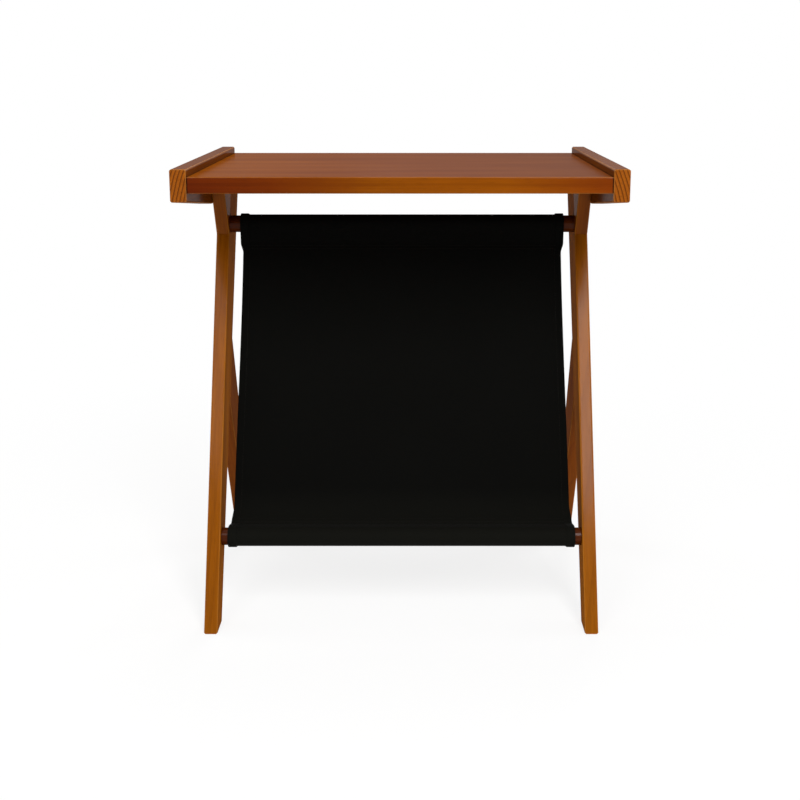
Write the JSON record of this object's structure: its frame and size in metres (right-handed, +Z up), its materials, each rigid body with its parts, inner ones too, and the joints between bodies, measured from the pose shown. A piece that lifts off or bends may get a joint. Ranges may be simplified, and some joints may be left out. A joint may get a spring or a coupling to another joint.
{
  "type": "side table",
  "caption": "Wooden side table with a flat top let in between side rails, splayed crossed legs, and a black cloth sling on round rods that holds magazines under the top.",
  "frame": {"origin": "on the floor, under the middle of the table", "axes": "+X across the table to the right as seen from the front, +Y from front to back, +Z up"},
  "size_m": [0.5, 0.4, 0.544],
  "materials": {
    "panel_wood": "reddish-brown stain, satin varnish, grain across the width",
    "rail_wood": "golden-brown stain, satin varnish, grain from front to back",
    "frame_wood": "golden-brown stain, satin varnish, grain along each board",
    "rod_wood": "brown stain, satin varnish",
    "pin_wood": "bare hardwood",
    "screw_steel": "zinc plated",
    "canvas": "black cotton canvas, matt"
  },
  "bodies": {
    "root": {"lower_rod": "rod_wood", "main_leg_left": "frame_wood", "main_leg_right": "frame_wood", "panel_pins_left": "pin_wood", "panel_pins_right": "pin_wood", "rail_left": "rail_wood", "rail_right": "rail_wood", "rail_screws_left": "screw_steel", "rail_screws_right": "screw_steel", "rear_leg_left": "frame_wood", "rear_leg_pins_left": "pin_wood", "rear_leg_pins_right": "pin_wood", "rear_leg_right": "frame_wood", "rod_screws_left": "screw_steel", "rod_screws_right": "screw_steel", "sling": "canvas", "strut_pin_left": "pin_wood", "strut_pin_right": "pin_wood", "top_panel": "panel_wood", "upper_rod": "rod_wood", "upper_strut_left": "frame_wood", "upper_strut_right": "frame_wood"}
  },
  "joints": []
}
